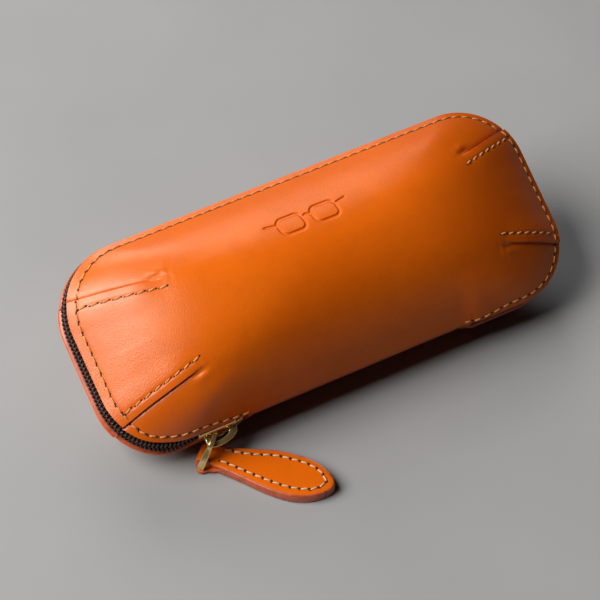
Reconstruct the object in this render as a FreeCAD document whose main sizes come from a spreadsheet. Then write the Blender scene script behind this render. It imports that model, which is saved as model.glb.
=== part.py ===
"""Zip-round leather glasses case: two cupped leather halves, joined by a spine along the front
and by a coil zipper round the other three sides, with a soft divider inside and a leather pull.

Two frames are used.
  case frame  x along the case, y from the spine (-) to the back of the zipper (+), z out of the
              seam plane towards the upper half; its origin is the middle of the seam plane.
  row frame   +Z up from the surface the case lies on. The case lies rolled towards its spine,
              so the case frame is turned about X by `roll` and lifted by `seam_height`.
All lengths are in millimetres and all angles in degrees.
"""
import FreeCAD, Part
import math
import os
import Sketcher

DIMENSIONS = {
    # outline of the leather edge, seen square to the seam plane
    "rim_length": 162.0,
    "rim_width": 67.0,
    "rim_corner": 22.0,
    # cupped halves
    "seam_half": 4.5,
    "crown": 22.5,
    "length_power": 3.0,
    "width_power": 2.2,
    "leather": 1.8,
    "lining": 0.7,
    # how the closed case lies
    "roll": 29.0,
    "seam_height": 26.6,
    "seam_back": 2.05,
    # spine along the front
    "spine_length": 80.0,
    "spine_gap": 0.05,
    # zipper
    "tape": 0.6,
    "tape_inset": 2.5,
    "tape_reach": 7.0,
    "chain_gap": 1.3,
    "coil_width": 2.4,
    "coil_depth": 1.4,
    "coil_inset": 0.9,
    "stop_length": 2.4,
    "stop_gap": 0.5,
    # divider, and the tongue by which it is sewn into the spine
    "divider": 1.6,
    "divider_inset": 8.5,
    "tongue_length": 76.0,
    "tongue_lap": 2.0,
    # slider and its crown
    "slider_place": -50.5,
    "slider_length": 13.0,
    "slider_width": 8.2,
    "slider_plate": 1.3,
    "slider_clear": 0.3,
    "rear_length": 12.0,
    "rear_width": 6.4,
    "rear_plate": 1.04,
    "post_width": 0.9,
    "post_length": 2.0,
    "post_set": 0.5,
    "post_bury": 0.2,
    # the crown's frame starts beside the slider's left end and hangs down from the plate
    "crown_start": 2.1,
    "crown_length": 10.7,
    "crown_depth": 3.9,
    "crown_width": 2.2,
    "crown_gap": 0.02,
    "spring_length": 3.0,
    "spring_width": 1.4,
    "spring_rise": 0.75,
    "spring_gap": 0.13,
    "spring_offset": 1.9,
    # link between crown and pull
    "link_section": 0.95,
    "link_top": 4.6,
    "link_bottom": 9.2,
    "link_height": 9.0,
    "link_foot": 0.6,
    "link_chamfer": 1.3,
    "link_tilt": 25.0,
    # leather pull
    "pull_x": -55.4,
    "pull_y": -30.0,
    "pull_turn": -45.0,
    "pull_lift": 0.2,
    "pull_start": 0.9,
    "pull_length": 42.0,
    "pull_neck": 7.2,
    "pull_wide": 15.6,
    "pull_thick": 3.8,
    "pull_eye": 1.15,
    "fold_swell": 0.2,
    # seams
    "stitch_line": 7.6,
    "thread": 0.6,
    "thread_rise": 0.36,
    "thread_lift": 0.05,
    "dart_start": 52.5,
    "dart_side": 12.3,
    "dart_length": 25.6,
    "dart_turn": 12.8,
    "pull_seam_start": 6.0,
    "pull_seam_neck": 1.6,
    "pull_seam_edge": 2.4,
    "pull_seam_tip": 3.0,
}

# heights of the sections that shape a cupped half, as fractions of its crown
LEVELS = (0.0, 0.15, 0.35, 0.55, 0.75, 0.9, 0.975)

# corners of the crown and of its opening, as shares of its length and of its depth
CROWN_OUTER = ((0.0, 0.0), (0.0, 0.46), (0.11, 0.92), (0.43, 1.0), (0.79, 0.77), (0.97, 0.41),
               (1.0, 0.0))
CROWN_OPENING = ((0.12, 0.03), (0.12, 0.54), (0.19, 0.64), (0.43, 0.64), (0.7, 0.46),
                 (0.76, 0.03))

# corners down one side of the pull, as shares of its length and of its half width
LEAF_SIDE = ((0.55, 0.93), (0.72, 1.0), (0.86, 0.8), (0.96, 0.4))
LEAF_WIDEST = 0.7
UPPER = 1
LOWER = -1
SIDES = {"upper": UPPER, "lower": LOWER}

doc = FreeCAD.newDocument("glasses_case")
sheet = doc.addObject("Spreadsheet::Sheet", "dims")
for row, (alias, size) in enumerate(DIMENSIONS.items(), start=1):
    sheet.set(f"A{row}", alias)
    sheet.set(f"B{row}", str(size))
    sheet.setAlias(f"B{row}", alias)
doc.recompute()

nodes = []


def number(expression):
    """The present value of an expression over the sheet's cells."""
    return float(sheet.evalExpression(expression))


def node(obj, name):
    """Names a finished sub-part, which is also its file's name."""
    obj.Label = name
    nodes.append(obj)
    return obj


def tilt_about(obj, axis, angle):
    """Turns an object about an axis through its own origin, by an angle bound to an expression."""
    obj.Placement = FreeCAD.Placement(FreeCAD.Vector(), FreeCAD.Rotation(axis, 1))
    obj.setExpression("Placement.Rotation.Angle", angle)
    return obj


def at_case(obj, x="0", y="0", z="0"):
    """Puts an object's origin at a point of the case frame and turns its axes with the case."""
    turned_y = f"dims.seam_back + ({y}) * cos(dims.roll) - ({z}) * sin(dims.roll)"
    turned_z = f"dims.seam_height + ({y}) * sin(dims.roll) + ({z}) * cos(dims.roll)"
    tilt_about(obj, FreeCAD.Vector(1, 0, 0), "dims.roll")
    obj.setExpression("Placement.Base.x", x)
    obj.setExpression("Placement.Base.y", turned_y)
    obj.setExpression("Placement.Base.z", turned_z)
    return obj


def box(name, length, width, height):
    """A box whose three sides follow expressions."""
    block = doc.addObject("Part::Box", name)
    block.setExpression("Length", length)
    block.setExpression("Width", width)
    block.setExpression("Height", height)
    return block


def centred_box(name, x_span, y_low, y_high, z_low, z_high, x_centre="0"):
    """A box in the case frame, centred on x_centre, between two y and two z planes."""
    block = box(name, x_span, f"({y_high}) - ({y_low})", f"({z_high}) - ({z_low})")
    return at_case(block, f"({x_centre}) - ({x_span}) / 2", y_low, z_low)


def cut(name, base, tool):
    result = doc.addObject("Part::Cut", name)
    result.Base = base
    result.Tool = tool
    return result


def common(name, first, second):
    result = doc.addObject("Part::Common", name)
    result.Base = first
    result.Tool = second
    return result


def fuse(name, shapes):
    result = doc.addObject("Part::MultiFuse", name)
    result.Shapes = shapes
    return result


def bind_distance(sketch, kind, geometry, point, expression, name):
    """Holds one coordinate of a point, counted from the sketch's origin, to an expression."""
    index = sketch.addConstraint(
        Sketcher.Constraint(kind, -1, 1, geometry, point, number(expression)))
    sketch.renameConstraint(index, name)
    sketch.setExpression(f"Constraints.{name}", expression)


def rounded_rectangle(sketch, half_length, half_width, radius, tag=""):
    """Four lines and four arcs about the sketch's origin, all bound to expressions."""
    a, b, r = number(half_length), number(half_width), number(radius)
    vector = FreeCAD.Vector
    first = sketch.GeometryCount
    lines = [((r - a, b), (a - r, b)), ((a, b - r), (a, r - b)),
             ((a - r, -b), (r - a, -b)), ((-a, r - b), (-a, b - r))]
    centres = [(a - r, b - r), (a - r, r - b), (r - a, r - b), (r - a, b - r)]
    quarter = math.pi / 2
    for side in range(4):
        (x0, y0), (x1, y1) = lines[side]
        sketch.addGeometry(Part.LineSegment(vector(x0, y0, 0), vector(x1, y1, 0)), False)
        circle = Part.Circle(vector(*centres[side], 0), vector(0, 0, 1), r)
        start = quarter * (0 - side)
        sketch.addGeometry(Part.ArcOfCircle(circle, start, start + quarter), False)
    for side in range(4):
        line, arc = first + 2 * side, first + 2 * side + 1
        following = first + (2 * side + 2) % 8
        # an arc runs counter-clockwise, so its end meets the line before it
        sketch.addConstraint(Sketcher.Constraint("Tangent", line, 2, arc, 2))
        sketch.addConstraint(Sketcher.Constraint("Tangent", arc, 1, following, 1))
        direction = "Horizontal" if side % 2 == 0 else "Vertical"
        sketch.addConstraint(Sketcher.Constraint(direction, line))
        if side:
            sketch.addConstraint(Sketcher.Constraint("Equal", first + 1, arc))
    index = sketch.addConstraint(Sketcher.Constraint("Radius", first + 1, r))
    sketch.renameConstraint(index, f"radius{tag}")
    sketch.setExpression(f"Constraints.radius{tag}", radius)
    bind_distance(sketch, "DistanceY", first, 1, half_width, f"top{tag}")
    bind_distance(sketch, "DistanceX", first + 2, 1, half_length, f"right{tag}")
    bind_distance(sketch, "DistanceY", first + 4, 1, f"-({half_width})", f"bottom{tag}")
    bind_distance(sketch, "DistanceX", first + 6, 1, f"-({half_length})", f"left{tag}")


def half_outline(inset):
    """Half length, half width and corner radius of the rim outline, moved in by inset."""
    return (f"dims.rim_length / 2 - ({inset})", f"dims.rim_width / 2 - ({inset})",
            f"dims.rim_corner - ({inset})")


def dome(name, side, inset):
    """A solid cap between the rim plane and the crown, with all its faces moved in by inset."""
    half_length, half_width, radius = half_outline(inset)
    sections = []
    for count, level in enumerate(LEVELS):
        sketch = doc.addObject("Sketcher::SketchObject", f"{name}_section{count}")
        share = f"(1 - {level})"
        rounded_rectangle(sketch,
                          f"({half_length}) * {share} ^ (1 / dims.length_power)",
                          f"({half_width}) * {share} ^ (1 / dims.width_power)",
                          f"({radius}) * {share} ^ (1 / dims.width_power)")
        rise = f"{side} * (dims.seam_half + {level} * (dims.crown - ({inset})))"
        at_case(sketch, z=rise)
        sections.append(sketch)
    cap = doc.addObject("Part::Loft", name)
    cap.Sections = sections
    cap.Solid = True
    cap.Ruled = False
    return cap


def ring(name, outer_inset, inner_inset, z_low, z_high):
    """A flat band that follows the rim outline, between two insets and two heights."""
    blocks = []
    for part, inset in (("outside", outer_inset), ("inside", inner_inset)):
        body = doc.addObject("PartDesign::Body", f"{name}_{part}")
        sketch = body.newObject("Sketcher::SketchObject", f"{name}_{part}_sketch")
        attach(sketch, body, "XY_Plane")
        rounded_rectangle(sketch, *half_outline(inset))
        pad = body.newObject("PartDesign::Pad", f"{name}_{part}_pad")
        pad.Profile = sketch
        pad.setExpression("Length", f"({z_high}) - ({z_low})")
        at_case(body, z=z_low)
        blocks.append(body)
    return cut(name, blocks[0], blocks[1])


def attach(sketch, body, role):
    """Lays a sketch on one of its own body's origin planes."""
    plane = next(item for item in body.Origin.OriginFeatures if item.Role == role)
    sketch.AttachmentSupport = [(plane, "")]
    sketch.MapMode = "FlatFace"


def polygon(sketch, corners, tag=""):
    """A closed outline of straight edges, each corner bound to a pair of expressions."""
    places = [FreeCAD.Vector(number(x), number(y), 0) for x, y in corners]
    first = sketch.GeometryCount
    count = len(places)
    for corner in range(count):
        edge = Part.LineSegment(places[corner], places[(corner + 1) % count])
        sketch.addGeometry(edge, False)
    for corner in range(count):
        following = first + (corner + 1) % count
        sketch.addConstraint(Sketcher.Constraint("Coincident", first + corner, 2, following, 1))
    for corner, (x, y) in enumerate(corners):
        bind_distance(sketch, "DistanceX", first + corner, 1, x, f"x{corner}{tag}")
        bind_distance(sketch, "DistanceY", first + corner, 1, y, f"y{corner}{tag}")


def pad_polygon(body, name, role, corners, length, midplane=False, offset=None, inner=None):
    """Pads a polygon drawn on one of the body's origin planes."""
    sketch = body.newObject("Sketcher::SketchObject", f"{name}_sketch")
    attach(sketch, body, role)
    polygon(sketch, corners)
    if inner:
        polygon(sketch, inner, "_in")
    if offset:
        sketch.setExpression("AttachmentOffset.Base.z", offset)
    pad = body.newObject("PartDesign::Pad", f"{name}_pad")
    pad.Profile = sketch
    pad.setExpression("Length", length)
    pad.Midplane = midplane
    return pad


def mirrored(corners):
    """The other side's corners, in the order that closes the outline."""
    return [(x, f"-({y})") for x, y in reversed(corners)]


def rectangle(x_low, x_high, y_low, y_high):
    return [(x_low, y_low), (x_high, y_low), (x_high, y_high), (x_low, y_high)]


# ---------------------------------------------------------------- the two cupped halves

def surface_block(name, lift):
    """Everything below a level plane, raised by lift above the surface the case lies on."""
    block = box(name, "dims.rim_length * 2", "dims.rim_length * 2", "dims.rim_length")
    block.setExpression("Placement.Base.x", "-dims.rim_length")
    block.setExpression("Placement.Base.y", "-dims.rim_length")
    block.setExpression("Placement.Base.z", f"({lift}) - dims.rim_length")
    return block


def halves():
    """Leather shell and lining of each half. The lower half is flat where it rests."""
    layers = {"outer": "0", "middle": "dims.leather", "inner": "dims.leather + dims.lining"}
    for half, side in SIDES.items():
        caps = {}
        for layer, inset in layers.items():
            cap = dome(f"{half}_{layer}", side, inset)
            if half == "lower":
                cap = cut(f"{half}_{layer}_flat", cap, surface_block(f"below_{layer}", inset))
            caps[layer] = cap
        node(cut(f"{half}_shell_cut", caps["outer"], caps["middle"]), f"{half}_shell")
        node(cut(f"{half}_lining_cut", caps["middle"], caps["inner"]), f"{half}_lining")


def spine():
    """The leather strip that joins the halves along the front, and the lining behind it."""
    face = "-dims.rim_width / 2"
    reach = "dims.seam_half - dims.spine_gap"
    strip = centred_box("spine_strip", "dims.spine_length", face, f"{face} + dims.leather",
                        f"-({reach})", reach)
    node(strip, "spine_panel")
    back = centred_box("spine_back", "dims.spine_length", f"{face} + dims.leather",
                       f"{face} + dims.leather + dims.lining", f"-({reach})", reach)
    node(back, "spine_lining")


def divider():
    """The soft flap between the two compartments, sewn into the spine."""
    body = doc.addObject("PartDesign::Body", "divider_body")
    sketch = body.newObject("Sketcher::SketchObject", "divider_sketch")
    attach(sketch, body, "XY_Plane")
    rounded_rectangle(sketch, *half_outline("dims.divider_inset"))
    pad = body.newObject("PartDesign::Pad", "divider_pad")
    pad.Profile = sketch
    pad.setExpression("Length", "dims.divider")
    at_case(body, z="-dims.divider / 2")
    front = "-dims.rim_width / 2"
    tongue = centred_box("divider_tongue", "dims.tongue_length",
                         f"{front} + dims.leather + dims.lining + dims.spine_gap",
                         f"{front} + dims.divider_inset + dims.tongue_lap",
                         "-dims.divider / 2", "dims.divider / 2")
    node(fuse("divider_fuse", [body, tongue]), "divider_flap")


# ---------------------------------------------------------------- zipper

def zipper():
    """Two tapes with a coil each. They run round three sides and stop at the spine."""
    for half, side in SIDES.items():
        wall_low = "dims.chain_gap / 2"
        wall_high = "dims.seam_half"
        shelf_low = "dims.seam_half - dims.tape"
        heights = {
            "wall": (wall_low, wall_high),
            "shelf": (shelf_low, wall_high),
            "coil": (wall_low, f"{wall_low} + dims.coil_width"),
        }
        if side == LOWER:
            heights = {key: (f"-({high})", f"-({low})") for key, (low, high) in heights.items()}
        coil_back = "dims.coil_inset + dims.coil_depth"
        wall = ring(f"{half}_wall", "dims.tape_inset", "dims.tape_inset + dims.tape",
                    *heights["wall"])
        shelf = ring(f"{half}_shelf", "dims.tape_inset", "dims.tape_reach", *heights["shelf"])
        tape = fuse(f"{half}_tape_fuse", [wall, shelf])
        coil = ring(f"{half}_coil_ring", "dims.coil_inset", coil_back, *heights["coil"])
        bands = {"tape": open_at_spine(f"{half}_tape_cut", tape, "0"),
                 "coil": open_at_spine(f"{half}_coil_cut", coil,
                                       "dims.stop_length + 2 * dims.stop_gap")}
        for band, shape in bands.items():
            if side == UPPER:
                shape = clear_slider(f"{band}_passage", shape)
            node(shape, f"zipper_{band}_{half}")


def open_at_spine(name, band, extra):
    """Takes away the stretch of a band that the spine replaces, and a little more at each end."""
    gap = centred_box(f"{name}_gap", f"dims.spine_length + 2 * ({extra})",
                      "-dims.rim_width", "-dims.rim_width / 4", "-dims.seam_half * 2",
                      "dims.seam_half * 2")
    return cut(name, band, gap)


def clear_slider(name, band):
    """Takes the upper band away where the parked slider holds it, so that the lid can lift off."""
    passage = centred_box(f"{name}_room", "dims.slider_length + 4 * dims.slider_clear",
                          "-dims.rim_width", "-dims.rim_width / 4", "0",
                          "dims.seam_half - dims.tape", "dims.slider_place")
    return cut(name, band, passage)


def stops():
    """The small metal clips that end the coils beside the spine: two at the left, one at the
    right that holds both rows together."""
    front = "-dims.rim_width / 2 + dims.coil_inset"
    back = "-dims.rim_width / 2 + dims.tape_inset"
    left = "-dims.spine_length / 2 - dims.stop_length / 2 - dims.stop_gap"
    low = "dims.chain_gap / 2"
    high = f"{low} + dims.coil_width"
    top = centred_box("stop_top", "dims.stop_length", front, back, low, high, left)
    node(top, "top_stop_upper")
    bottom = centred_box("stop_bottom", "dims.stop_length", front, back,
                         f"-({high})", f"-({low})", left)
    node(bottom, "top_stop_lower")
    right = "dims.spine_length / 2 + dims.stop_length / 2 + dims.stop_gap"
    tail = centred_box("stop_tail", "dims.stop_length", front, back, f"-({high})",
                       f"{low} - dims.spine_gap", right)
    node(tail, "bottom_stop")


# ---------------------------------------------------------------- slider

CHAIN_FRONT = "-dims.rim_width / 2 + dims.coil_inset"
CHAIN_BACK = "-dims.rim_width / 2 + dims.tape_inset + dims.tape"


def slider():
    """The slider's two plates and the post between them. The body's frame is the case frame,
    moved along x to the place where the closed slider stands."""
    body = doc.addObject("PartDesign::Body", "slider")
    half = "dims.slider_width / 2"
    face = f"{CHAIN_FRONT} - dims.slider_clear"
    front = f"{face} - dims.slider_plate"
    lip = f"{CHAIN_FRONT} + dims.coil_depth / 2"
    inside = "dims.chain_gap / 2 + dims.coil_width + dims.slider_clear"
    channel = [(f"-{half}", front), (half, front), (half, lip), (inside, lip), (inside, face),
               (f"-({inside})", face), (f"-({inside})", lip), (f"-{half}", lip)]
    # the YZ plane's sketch has the case's y across and z up
    turned = [(y, z) for z, y in channel]
    pad_polygon(body, "channel", "YZ_Plane", turned, "dims.slider_length", midplane=True)
    rear_face = f"{CHAIN_BACK} + dims.slider_clear"
    rear = f"{rear_face} + dims.rear_plate"
    post = rectangle(f"{face} - dims.post_bury", f"{rear_face} + dims.post_bury",
                     "-dims.post_width / 2", "dims.post_width / 2")
    nose = "dims.slider_length / 2 - dims.post_length - dims.post_set"
    pad_polygon(body, "post", "YZ_Plane", post, "dims.post_length", offset=nose)
    plate = rectangle(rear_face, rear, "-dims.rear_width / 2", "dims.rear_width / 2")
    pad_polygon(body, "rear_plate", "YZ_Plane", plate, "dims.rear_length", midplane=True)
    at_case(body, x="dims.slider_place")
    node(body, "slider_body")


CROWN_FOOT = f"{CHAIN_FRONT} - dims.slider_clear - dims.slider_plate - dims.crown_gap"


def slider_crown():
    """The long loop on the slider's face, deepest at its left end, where the link hooks in."""
    body = doc.addObject("PartDesign::Body", "crown")
    left = "dims.crown_start - dims.slider_length / 2"
    outer, inner = ([(f"{left} + {along} * dims.crown_length",
                      f"{CROWN_FOOT} - {down} * dims.crown_depth") for along, down in corners]
                    for corners in (CROWN_OUTER, CROWN_OPENING))
    pad_polygon(body, "loop", "XY_Plane", outer, "dims.crown_width", midplane=True, inner=inner)
    at_case(body, x="dims.slider_place")
    node(body, "slider_crown")


def lock_spring():
    """The leaf that locks the slider, seen inside the crown's opening."""
    face = f"{CROWN_FOOT} - dims.spring_gap"
    leaf = centred_box("leaf", "dims.spring_length", f"{face} - dims.spring_rise", face,
                       "-dims.spring_width / 2", "dims.spring_width / 2",
                       "dims.slider_place + dims.spring_offset")
    node(leaf, "slider_lock_spring")


# ---------------------------------------------------------------- link and pull

def pull_frame(obj):
    """Puts an object's origin on the link's lower bar, with x along the leather pull."""
    tilt_about(obj, FreeCAD.Vector(0, 0, 1), "dims.pull_turn")
    obj.setExpression("Placement.Base.x", "dims.pull_x")
    obj.setExpression("Placement.Base.y", "dims.seam_back + dims.pull_y")
    obj.setExpression("Placement.Base.z", "dims.pull_thick / 2 + dims.pull_lift")
    return obj


def pull_link():
    """A flat ring that narrows towards the crown. It stands on its lower bar, which lies in the
    pull's eye, and tilts over the pull to reach the crown's deep end."""
    body = doc.addObject("PartDesign::Body", "link")
    thick = "dims.link_section"
    low = "dims.link_bottom / 2"
    high = "dims.link_top / 2"
    top = "dims.link_height"
    chamfer = "dims.link_chamfer"
    outer = [(f"-({low}) - {thick}", f"-{thick} / 2"), (f"{low} + {thick}", f"-{thick} / 2"),
             (f"{low} + {thick}", "dims.link_foot"), (f"{high} + {thick}", f"{top} - {chamfer}"),
             (f"{high} + {thick} - {chamfer}", f"{top} + {thick}"),
             (f"{chamfer} - {high} - {thick}", f"{top} + {thick}"),
             (f"-({high}) - {thick}", f"{top} - {chamfer}"),
             (f"-({low}) - {thick}", "dims.link_foot")]
    inner = [(f"-({low})", f"{thick} / 2"), (low, f"{thick} / 2"),
             (high, f"{top} - {chamfer}"), (f"{high} - {chamfer} / 2", top),
             (f"{chamfer} / 2 - {high}", top), (f"-({high})", f"{top} - {chamfer}")]
    pad_polygon(body, "ring", "YZ_Plane", outer, thick, midplane=True, inner=inner)
    tilt_about(body, FreeCAD.Vector(0, 1, 0), "dims.link_tilt")
    holder = doc.addObject("Part::Compound", "link_holder")
    holder.Links = [body]
    node(pull_frame(holder), "pull_link")


def leaf_outline(sketch):
    """A leaf: straight flaring sides from the neck, then a round end with a blunt point."""
    neck = [("dims.pull_start", "-dims.pull_neck / 2")]
    side = neck + [(f"{along} * dims.pull_length", f"-{out} * dims.pull_wide / 2")
                   for along, out in LEAF_SIDE]
    polygon(sketch, side + [("dims.pull_length", "0")] + mirrored(side))


def barrel(name, radius, width):
    """A cylinder along the pull's width, about the link's lower bar."""
    cylinder = doc.addObject("Part::Cylinder", name)
    cylinder.setExpression("Radius", radius)
    cylinder.setExpression("Height", width)
    across = FreeCAD.Rotation(FreeCAD.Vector(1, 0, 0), -90)
    cylinder.Placement = FreeCAD.Placement(FreeCAD.Vector(), across)
    cylinder.setExpression("Placement.Base.y", f"-({width}) / 2")
    holder = doc.addObject("Part::Compound", f"{name}_holder")
    holder.Links = [cylinder]
    return pull_frame(holder)


def pull_tab():
    """The leather pull: a leaf of two layers, folded round the link's lower bar."""
    body = doc.addObject("PartDesign::Body", "leaf_body")
    sketch = body.newObject("Sketcher::SketchObject", "leaf_sketch")
    attach(sketch, body, "XY_Plane")
    leaf_outline(sketch)
    pad = body.newObject("PartDesign::Pad", "leaf_pad")
    pad.Profile = sketch
    pad.Midplane = True
    pad.setExpression("Length", "dims.pull_thick")
    pull_frame(body)
    fold = barrel("fold", "dims.pull_thick / 2 + dims.fold_swell", "dims.pull_neck")
    eye = barrel("eye", "dims.pull_eye", "dims.pull_neck * 1.5")
    node(cut("pull_cut", fuse("pull_whole", [body, fold]), eye), "pull_tab")


# ---------------------------------------------------------------- seams

def seams():
    """Thread, as thin bands on the leather: one round each rim and four at each half's darts."""
    for half, side in SIDES.items():
        grown = dome(f"{half}_grown", side, "-dims.thread_rise")
        skin = cut(f"{half}_skin", grown, doc.getObject(f"{half}_outer"))
        low, high = "dims.stitch_line - dims.thread / 2", "dims.stitch_line + dims.thread / 2"
        if side == LOWER:
            low, high = f"-({high})", f"-({low})"
        slab = centred_box(f"{half}_slab", "dims.rim_length * 2", "-dims.rim_width",
                           "dims.rim_width", low, high)
        rim_band = open_at_spine(f"{half}_rim_seam", common(f"{half}_rim_band", skin, slab), "0")
        blades = []
        for end in (-1, 1):
            for edge in (-1, 1):
                blades.append(dart_blade(f"{half}_dart{len(blades)}", side, end, edge))
        dart_bands = common(f"{half}_dart_bands", skin, fuse(f"{half}_blades", blades))
        for seam, band in (("rim", rim_band), ("dart", dart_bands)):
            if side == LOWER:
                below = surface_block(f"below_{seam}_seam", "dims.thread_lift")
                band = cut(f"{seam}_seam_flat", band, below)
            node(band, f"{seam}_thread_{half}")


def dart_blade(name, side, end, edge):
    """A thin upright slab over one dart, from its inner end towards the rim."""
    blade = box(name, "dims.dart_length", "dims.thread", "dims.crown * 2")
    turn = f"{edge} * dims.dart_turn" if end > 0 else f"180 - {edge} * dims.dart_turn"
    blade.setExpression("Placement.Rotation.Angle", turn)
    blade.setExpression("Placement.Base.x", f"{end} * dims.dart_start")
    blade.setExpression("Placement.Base.y", f"{edge} * dims.dart_side")
    start = "dims.stitch_line + 2 * dims.thread"
    if side == LOWER:
        start = f"-({start}) - 2 * dims.crown"
    blade.setExpression("Placement.Base.z", start)
    holder = doc.addObject("Part::Compound", f"{name}_holder")
    holder.Links = [blade]
    return at_case(holder)


def pull_seam():
    """The pull's stitching, as one closed band on its upper face."""
    body = doc.addObject("PartDesign::Body", "pull_seam_body")
    sketch = body.newObject("Sketcher::SketchObject", "pull_seam_sketch")
    attach(sketch, body, "XY_Plane")
    for tag, inset in (("", "0"), ("_in", "dims.thread")):
        # the pointed end comes in twice as far as the sides
        side = [(f"dims.pull_seam_start + {inset}", f"{inset} - dims.pull_seam_neck"),
                (f"{LEAF_WIDEST} * dims.pull_length",
                 f"{inset} + dims.pull_seam_edge - dims.pull_wide / 2")]
        tip = (f"dims.pull_length - dims.pull_seam_tip - 2 * {inset}", "0")
        polygon(sketch, side + [tip] + mirrored(side), tag)
    sketch.setExpression("AttachmentOffset.Base.z", "dims.pull_thick / 2")
    pad = body.newObject("PartDesign::Pad", "pull_seam_pad")
    pad.Profile = sketch
    pad.setExpression("Length", "dims.thread / 2")
    pull_frame(body)
    node(body, "pull_thread")


# ---------------------------------------------------------------- build, check and write

def write_parts():
    """Recomputes the document, refuses any failed object and writes each sub-part."""
    doc.recompute()
    for obj in doc.Objects:
        if "Invalid" in obj.State or "Error" in obj.State:
            raise RuntimeError(f"{obj.Name} failed: {obj.State}")
    os.makedirs("parts", exist_ok=True)
    for obj in nodes:
        shape = obj.Shape
        if shape.isNull() or not shape.isValid() or not shape.Solids:
            raise RuntimeError(f"{obj.Label} has no valid solid")
        shape.exportStep(f"parts/{obj.Label}.step")
        print(f"{obj.Label}: {len(shape.Solids)} solid(s), {shape.Volume:.1f} mm3")


halves()
spine()
divider()
zipper()
stops()
slider()
slider_crown()
lock_spring()
pull_link()
pull_tab()
seams()
pull_seam()
write_parts()
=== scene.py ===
"""Looks of a zip-round leather glasses case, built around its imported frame.

Pieces are worked out in millimetres in the case frame (x along the case, y from the spine to the
back of the zipper, z out of the seam plane) and turned into the row frame, in metres, at the end.
"""

import math

import bpy
import numpy as np
from mathutils import Matrix, Vector


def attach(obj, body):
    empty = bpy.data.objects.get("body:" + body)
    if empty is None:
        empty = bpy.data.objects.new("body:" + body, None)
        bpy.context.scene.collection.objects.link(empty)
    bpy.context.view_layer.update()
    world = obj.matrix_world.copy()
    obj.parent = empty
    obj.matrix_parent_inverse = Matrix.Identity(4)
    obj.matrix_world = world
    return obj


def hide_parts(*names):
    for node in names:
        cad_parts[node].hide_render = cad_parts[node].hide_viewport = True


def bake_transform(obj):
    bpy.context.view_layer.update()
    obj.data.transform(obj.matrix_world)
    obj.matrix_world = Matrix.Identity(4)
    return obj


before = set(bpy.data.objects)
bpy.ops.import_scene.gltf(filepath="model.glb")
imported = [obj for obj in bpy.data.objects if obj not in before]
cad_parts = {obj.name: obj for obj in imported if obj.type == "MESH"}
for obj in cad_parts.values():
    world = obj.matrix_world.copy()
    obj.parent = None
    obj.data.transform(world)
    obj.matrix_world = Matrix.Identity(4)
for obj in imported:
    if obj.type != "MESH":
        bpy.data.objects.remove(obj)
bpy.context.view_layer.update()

MM = 0.001

# ------------------------------------------------------------------ sizes of the case, mm
HALF_LENGTH = 81.0
HALF_WIDTH = 33.5
CORNER = 22.0
SEAM_HALF = 4.5
CROWN = 22.5
LENGTH_POWER = 3.0
WIDTH_POWER = 2.2
LEATHER = 1.8
LINING = 0.7
SPINE_HALF = 40.0
ROLL = math.radians(29.0)
SEAM_CENTRE = (0.0, 2.05, 26.6)
STITCH_PITCH = 3.5
STITCH_LENGTH = 2.35
DART_PITCH = 3.3
# how far the rim seam lies inside the outline; along the front; and how much more at the left
STITCH_INSET = 1.95
STITCH_INSET_FRONT = 1.5
STITCH_LEFT = 0.8
# how far inside the rim the leather is pinched most, and how deep at the back, front and ends
PINCH_INSET = 3.2
PINCH_BACK, PINCH_FRONT, PINCH_ENDS = 0.95, 0.25, 0.45
# how far the front is drawn in, and how much more the lower rim is
FRONT_DRAW = 1.15
LOWER_DRAW = 0.95
COIL_PITCH = 1.36
COIL_LEAN = 0.22
SLIDER_X = -50.5
SLIDER_REACH = 5.6
LINK_TILT = math.radians(17.0)
PULL_ORIGIN = (-55.4, -27.95, 2.1)
PULL_TURN = math.radians(-45.0)
PULL_LENGTH = 42.0
PULL_NECK = 5.4
PULL_PITCH = 3.05

# darts: inner end and rim end of the stitch row, first quadrant; how far beside it the cut edge
# runs, and how far the panel rises there; how much shorter the right darts are, and how much
# nearer to the middle line the front right one lies
DART_INNER = (52.5, 12.3)
DART_OUTER = (77.5, 18.0)
DART_EDGE = 3.0
DART_LIFT = 0.8
DART_SHIFT = 5.6
DART_RAISE = 1.4
# one dart in each quadrant, as the signs of its x and y
DARTS = [(sx, sy) for sx in (1, -1) for sy in (1, -1)]


# ------------------------------------------------------------------ frames and meshes
def straight_to_row(points):
    """Case frame in mm to row frame in metres."""
    x, y, z = np.asarray(points, float).T
    c, s = math.cos(ROLL), math.sin(ROLL)
    return (np.column_stack((x, y * c - z * s, y * s + z * c)) + SEAM_CENTRE) * MM


def worn(points):
    """Case-frame points moved as in a sewn case: drawn in along the front, and with the lower
    rim standing out at the left end."""
    points = np.array(points, float)
    x, y, z = points.T
    core = smoothstep(44, 36, np.abs(x))
    upper_left = smoothstep(78, 66, -x) * (x < 0) * smoothstep(-3, 4, z)
    drawn = (core * (FRONT_DRAW + LOWER_DRAW * smoothstep(2, -4, z))
             + (1 - core) * upper_left * FRONT_DRAW)
    inward = drawn * smoothstep(14, 32, -y)
    # away from the middle of the left end's own rounding
    straight = HALF_WIDTH - CORNER
    qx, qy = np.minimum(x + HALF_LENGTH - CORNER, -1e-6), y - np.clip(y, -straight, straight)
    reach = np.hypot(qx, qy)
    level = np.interp(z, [-16, -5, -3, SEAM_HALF], [0, 1.45, 1.0, 0])
    outward = (level * smoothstep(2, 16, reach) * smoothstep(58, 70, -x)
               * (1 - 0.4 * smoothstep(5, 30, y)))
    points[:, 0] += outward * qx / reach
    points[:, 1] += outward * qy / reach + inward
    return points


def to_row(points):
    return straight_to_row(worn(points))


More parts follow.
